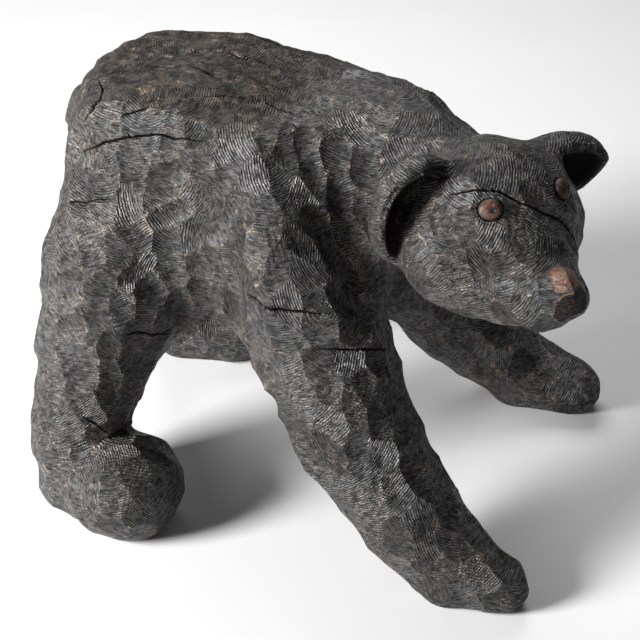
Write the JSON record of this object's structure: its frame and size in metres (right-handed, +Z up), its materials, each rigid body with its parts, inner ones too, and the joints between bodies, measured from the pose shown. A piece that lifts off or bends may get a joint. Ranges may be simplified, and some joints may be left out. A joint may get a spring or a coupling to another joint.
{
  "type": "chainsaw carved bear",
  "caption": "Life-like walking bear carved from one dark stained log, head turned to its right, cupped ears, inset round wooden eyes, four flat soles.",
  "frame": {"origin": "middle of the overall box at ground level, on the plane of the four soles", "axes": "+X the way the body walks, +Y the bear's left side, +Z up"},
  "size_m": [0.6436, 0.5152, 0.5446],
  "materials": {
    "carved_wood": "near-black stain over tool-marked timber, waxed",
    "eye_wood": "reddish brown turned plug, worn"
  },
  "bodies": {
    "root": {"bear_body": "carved_wood", "eye_right": "eye_wood", "eye_left": "eye_wood"}
  },
  "joints": []
}
